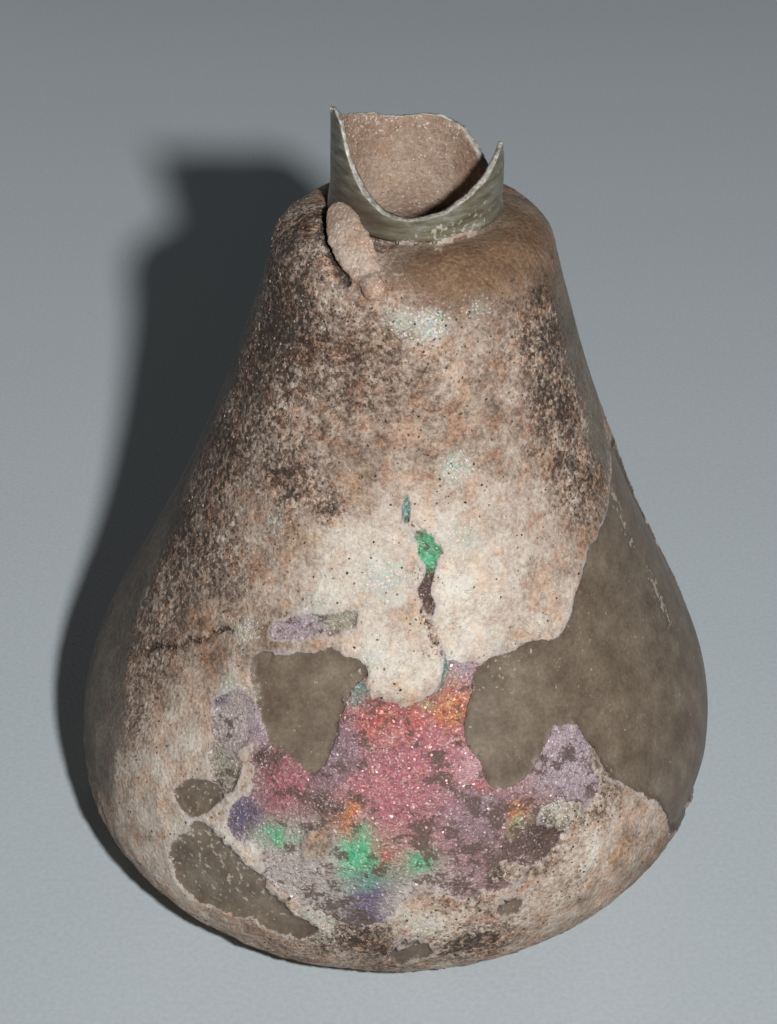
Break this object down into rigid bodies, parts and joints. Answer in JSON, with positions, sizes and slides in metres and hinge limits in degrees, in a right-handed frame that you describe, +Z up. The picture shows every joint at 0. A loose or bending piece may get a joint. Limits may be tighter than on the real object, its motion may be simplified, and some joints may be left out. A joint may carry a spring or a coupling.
{
  "type": "glass unguentarium",
  "caption": "Ancient free-blown glass unguentarium: a hollow bell-shaped body on a flat ring, a narrow rounded shoulder and the ragged stub of a broken neck.",
  "frame": {"origin": "centre of the flat ring that the flask stands on", "axes": "+Z up through the neck; the lowest stretch of the broken rim faces -Y, and the tallest point of the break is on the -X side"},
  "size_m": [0.0801, 0.08, 0.0979],
  "materials": {
    "weathered_glass": "opaque: matte buff burial crust, flaked off in places to dull brown glass, with iridescent patches"
  },
  "bodies": {
    "root": {"flask": "weathered_glass"}
  },
  "joints": []
}
